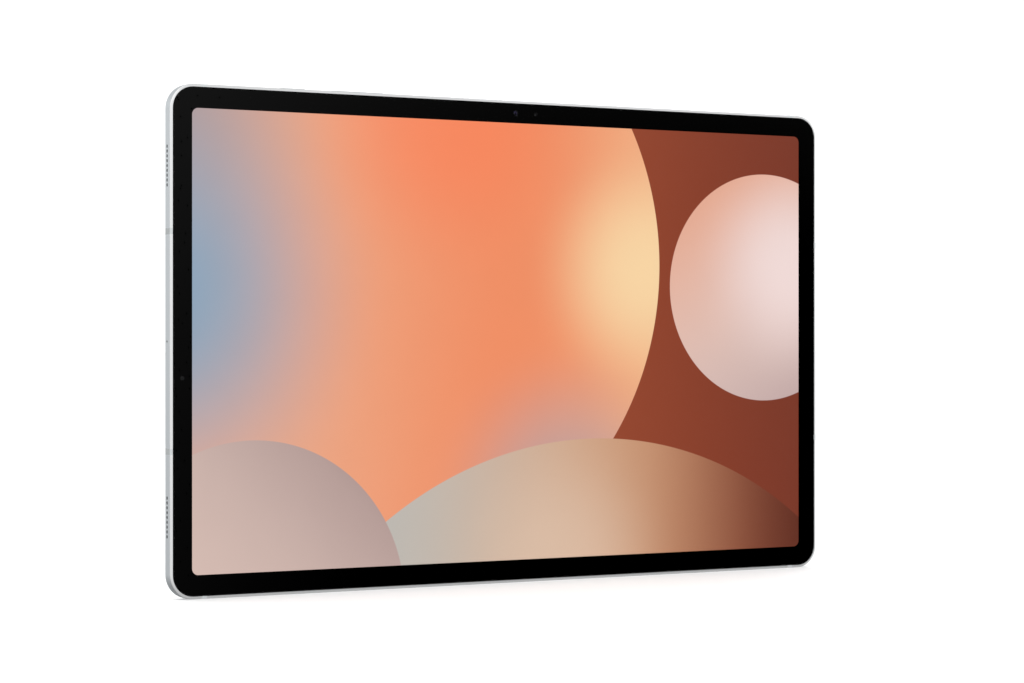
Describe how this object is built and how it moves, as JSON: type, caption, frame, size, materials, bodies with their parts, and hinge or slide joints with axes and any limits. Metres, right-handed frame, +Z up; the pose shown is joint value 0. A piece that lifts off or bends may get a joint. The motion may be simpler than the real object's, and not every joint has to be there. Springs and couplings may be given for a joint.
{
  "type": "tablet computer",
  "caption": "Thin slate tablet with a glass front, black border, metal housing, edge keys, speaker slots, rear cameras, side port and sliding card tray.",
  "frame": {"origin": "middle of the flat face of the long bottom edge, on which the tablet stands upright", "axes": "+X along the long side, to the right as seen from the screen; +Y from the screen to the back; +Z up the short side"},
  "size_m": [0.2854, 0.0063, 0.1857],
  "materials": {
    "silver_aluminium": "bead-blasted and anodised silver, satin",
    "band_plastic": "moulded plastic, satin, one shade darker than the metal",
    "cover_glass": "polished toughened glass",
    "black_ink": "black print behind the glass",
    "gasket_foam": "black foam adhesive",
    "display": "lit display behind glass",
    "digitizer_film": "polyimide film",
    "graphite": "graphite sheet",
    "polyimide_flex": "amber polyimide film",
    "circuit_board": "green solder mask",
    "chip_black": "moulded chip packages",
    "shield_steel": "tinned sheet steel",
    "copper": "bare copper",
    "battery_film": "laminated pouch film",
    "black_plastic": "moulded black plastic",
    "stainless_steel": "stamped stainless steel",
    "screw_steel": "black-plated steel",
    "magnet_nickel": "nickel-plated magnet",
    "diaphragm_rubber": "rubber surround and paper cone",
    "mesh_black": "woven dust mesh",
    "lens_glass": "coated lens glass",
    "flash_plastic": "milky clear diffuser",
    "led_yellow": "phosphor LED",
    "strip_gloss": "satin strip a shade darker than the back",
    "gold_contact": "gold-plated contact",
    "cable_black": "black coaxial cable jacket"
  },
  "bodies": {
    "chassis": {"back_housing": "silver_aluminium", "antenna_bands": "band_plastic", "cover_glass": "cover_glass", "black_border": "black_ink", "display_gasket": "gasket_foam", "display_panel": "display", "pen_digitizer": "digitizer_film", "graphite_sheet": "graphite", "display_flex": "polyimide_flex", "main_board": "circuit_board", "board_chips": "chip_black", "shield_cans": "shield_steel", "vapour_chamber": "copper", "battery_cell_left": "battery_film", "battery_cell_right": "battery_film", "battery_board": "circuit_board", "port_board": "circuit_board", "port_shell": "shield_steel", "port_tongue": "black_plastic", "interconnect_flex": "polyimide_flex", "power_dome": "shield_steel", "volume_domes": "shield_steel", "key_flex": "polyimide_flex", "key_bracket": "stainless_steel", "tray_socket": "shield_steel", "lever_pin": "stainless_steel", "speaker_top_left": "black_plastic", "speaker_bottom_left": "black_plastic", "speaker_top_right": "black_plastic", "speaker_bottom_right": "black_plastic", "speaker_magnets": "magnet_nickel", "speaker_diaphragms": "diaphragm_rubber", "speaker_meshes": "mesh_black", "microphone": "shield_steel", "front_camera": "black_plastic", "front_camera_window": "lens_glass", "front_camera_flex": "polyimide_flex", "light_sensors": "black_plastic", "rear_camera_main": "black_plastic", "rear_camera_wide": "black_plastic", "camera_rings": "silver_aluminium", "camera_glasses": "lens_glass", "flash_led": "led_yellow", "flash_window": "flash_plastic", "pen_strip": "strip_gloss", "pen_coil": "copper", "pen_magnets": "magnet_nickel", "contact_insert": "black_plastic", "contact_pads": "gold_contact", "cover_magnets": "magnet_nickel", "antenna_cables": "cable_black", "board_screws": "screw_steel", "speaker_screws": "screw_steel"},
    "power_key": {"power_key": "silver_aluminium"},
    "volume_key": {"volume_key": "silver_aluminium"},
    "eject_rod": {"eject_rod": "stainless_steel"},
    "eject_lever": {"eject_lever": "stainless_steel"},
    "eject_slider": {"eject_slider": "stainless_steel"},
    "card_tray": {"card_tray": "silver_aluminium"}
  },
  "joints": [
    {"name": "power_key_press", "type": "slide", "parent": "chassis", "child": "power_key", "axis": [0, 0, -1], "range_m": [0, 0.00025], "stiffness_N_per_m": 800, "deforming": ["power_dome"]},
    {"name": "volume_key_rock", "type": "hinge", "parent": "chassis", "child": "volume_key", "pos_m": [-0.06685, -0.0002, 0.1842], "axis": [0, 1, 0], "range_deg": [-1.7, 1.7], "stiffness_Nm_per_rad": 0.2, "deforming": ["volume_domes"]},
    {"name": "eject_rod_push", "type": "slide", "parent": "chassis", "child": "eject_rod", "axis": [0, 0, -1], "range_m": [0, 0.002]},
    {"name": "eject_lever_turn", "type": "hinge", "parent": "chassis", "child": "eject_lever", "pos_m": [-0.0315, -0.00015, 0.1516], "axis": [0, 1, 0], "range_deg": [0, 16.3]},
    {"name": "eject_slider_lift", "type": "slide", "parent": "chassis", "child": "eject_slider", "axis": [0, 0, 1], "range_m": [0, 0.0016]},
    {"name": "card_tray_slide", "type": "slide", "parent": "eject_slider", "child": "card_tray", "axis": [0, 0, 1], "range_m": [0, 0.024]}
  ],
  "couplings": [
    {"joint": "eject_lever_turn", "follows": "eject_rod_push", "rad_per_m": 140.74},
    {"joint": "eject_slider_lift", "follows": "eject_rod_push", "ratio": 0.7639}
  ]
}
